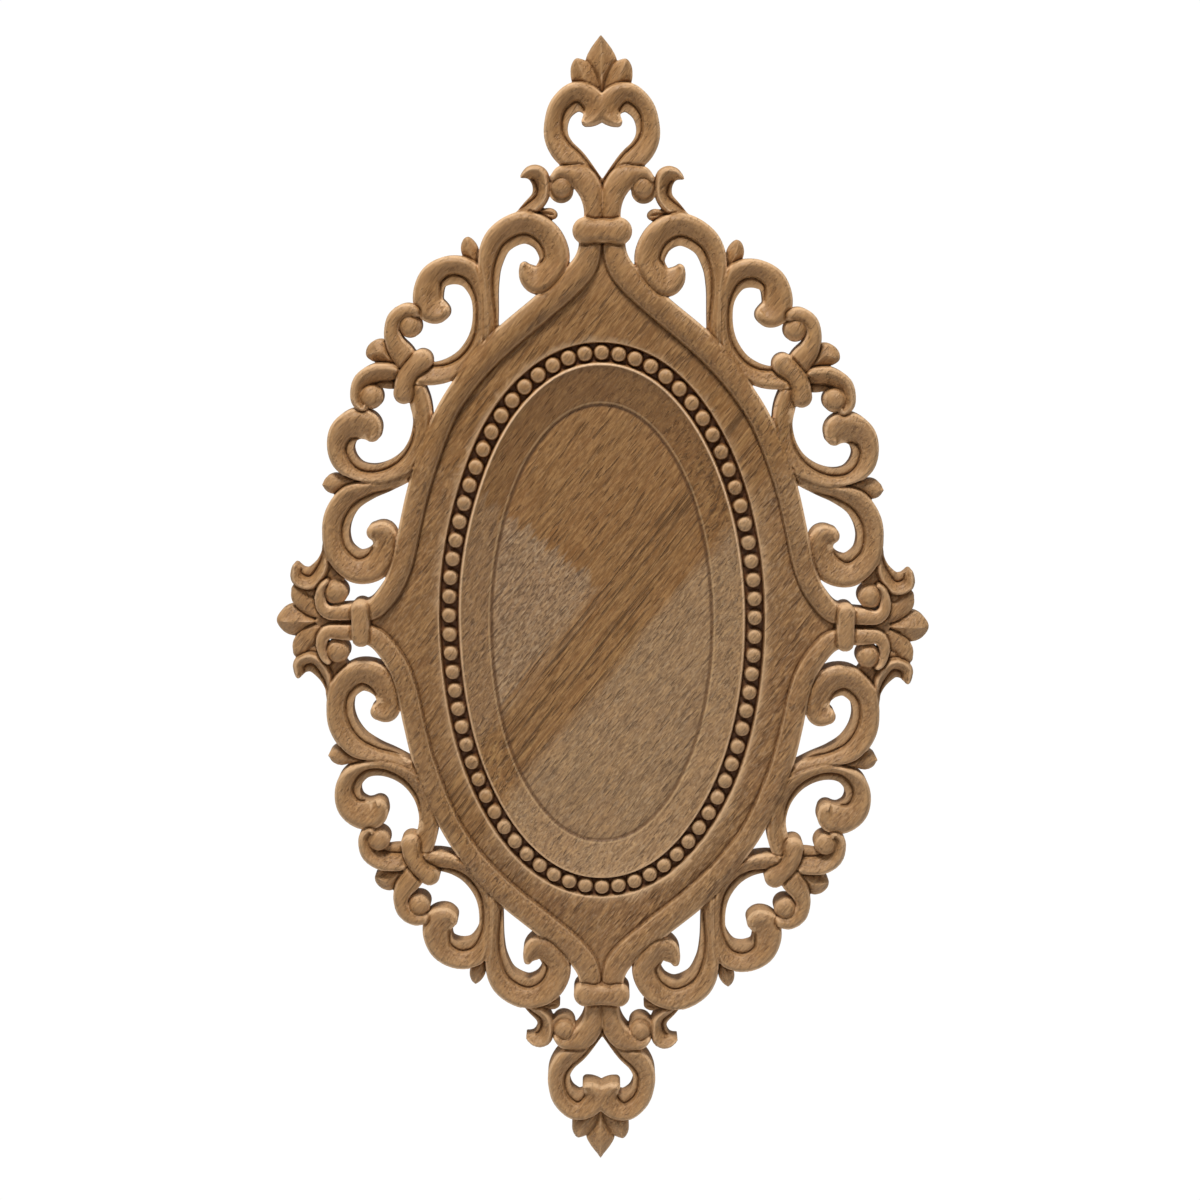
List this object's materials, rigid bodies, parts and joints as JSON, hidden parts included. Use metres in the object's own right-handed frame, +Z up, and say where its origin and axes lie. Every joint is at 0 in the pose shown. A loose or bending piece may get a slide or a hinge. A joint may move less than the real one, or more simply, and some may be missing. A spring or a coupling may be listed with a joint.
{
  "type": "carved wooden oval medallion applique",
  "caption": "Pointed oval wooden onlay with a beaded dish and a pierced scroll border, glued or pinned flat to a door, panel or wall.",
  "frame": {"origin": "centre of the flat back face, where the onlay is glued to its panel", "axes": "+Z up along the long axis, +Y out of the back into the panel, -Y the way the carved face looks, +X to the right seen from the front"},
  "size_m": [0.2296, 0.0128, 0.4002],
  "materials": {
    "carved_wood": "unfinished carved hardwood, matte, open pores, darker cut creases"
  },
  "bodies": {
    "root": {"carved_applique": "carved_wood"}
  },
  "joints": []
}
